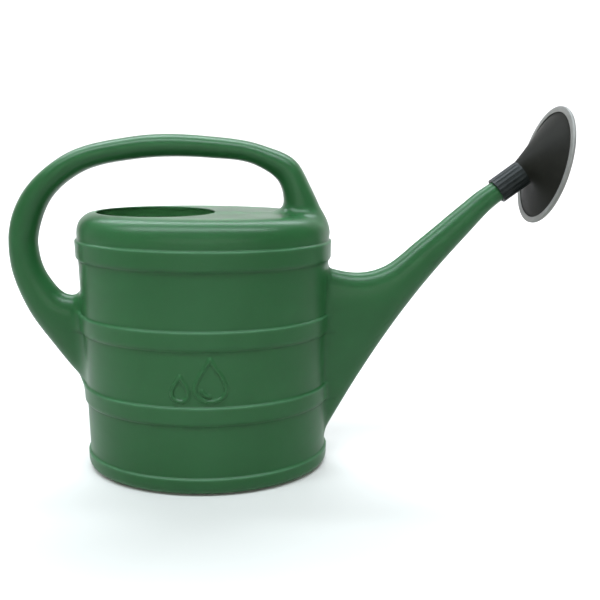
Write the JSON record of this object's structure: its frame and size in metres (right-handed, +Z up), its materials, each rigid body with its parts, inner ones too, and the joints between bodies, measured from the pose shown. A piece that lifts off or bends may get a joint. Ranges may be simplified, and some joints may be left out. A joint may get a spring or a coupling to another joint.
{
  "type": "watering can",
  "caption": "Oval blow-moulded plastic watering can with a hooped vessel, an open filling hole, a large loop handle, a long raked spout and a push-on round rose.",
  "frame": {"origin": "on the ground, halfway along the whole length and on the mirror plane; the oval vessel's axis is 86.56 mm from it towards the handle", "axes": "+X from the handle to the spout, +Z up, +Y across the can; the part is its own mirror image in Y = 0"},
  "size_m": [0.6082, 0.1874, 0.4186],
  "materials": {
    "green_plastic": "satin, as it leaves the mould",
    "black_rubber": "satin",
    "black_plastic": "satin",
    "aluminium_sheet": "dull rolled sheet"
  },
  "bodies": {
    "can": {"can_body": "green_plastic"},
    "sleeve": {"rose_sleeve": "black_rubber"},
    "rose": {"rose_cone": "black_plastic", "rose_plate": "aluminium_sheet"}
  },
  "joints": [
    {"name": "rose_pull", "type": "slide", "parent": "can", "child": "sleeve", "axis": [0.7934, 0, 0.6088], "range_m": [0, 0.06]},
    {"name": "rose_turn", "type": "hinge", "parent": "sleeve", "child": "rose", "pos_m": [0.24014, 0, 0.3256], "axis": [0.7934, 0, 0.6088], "continuous": true}
  ]
}
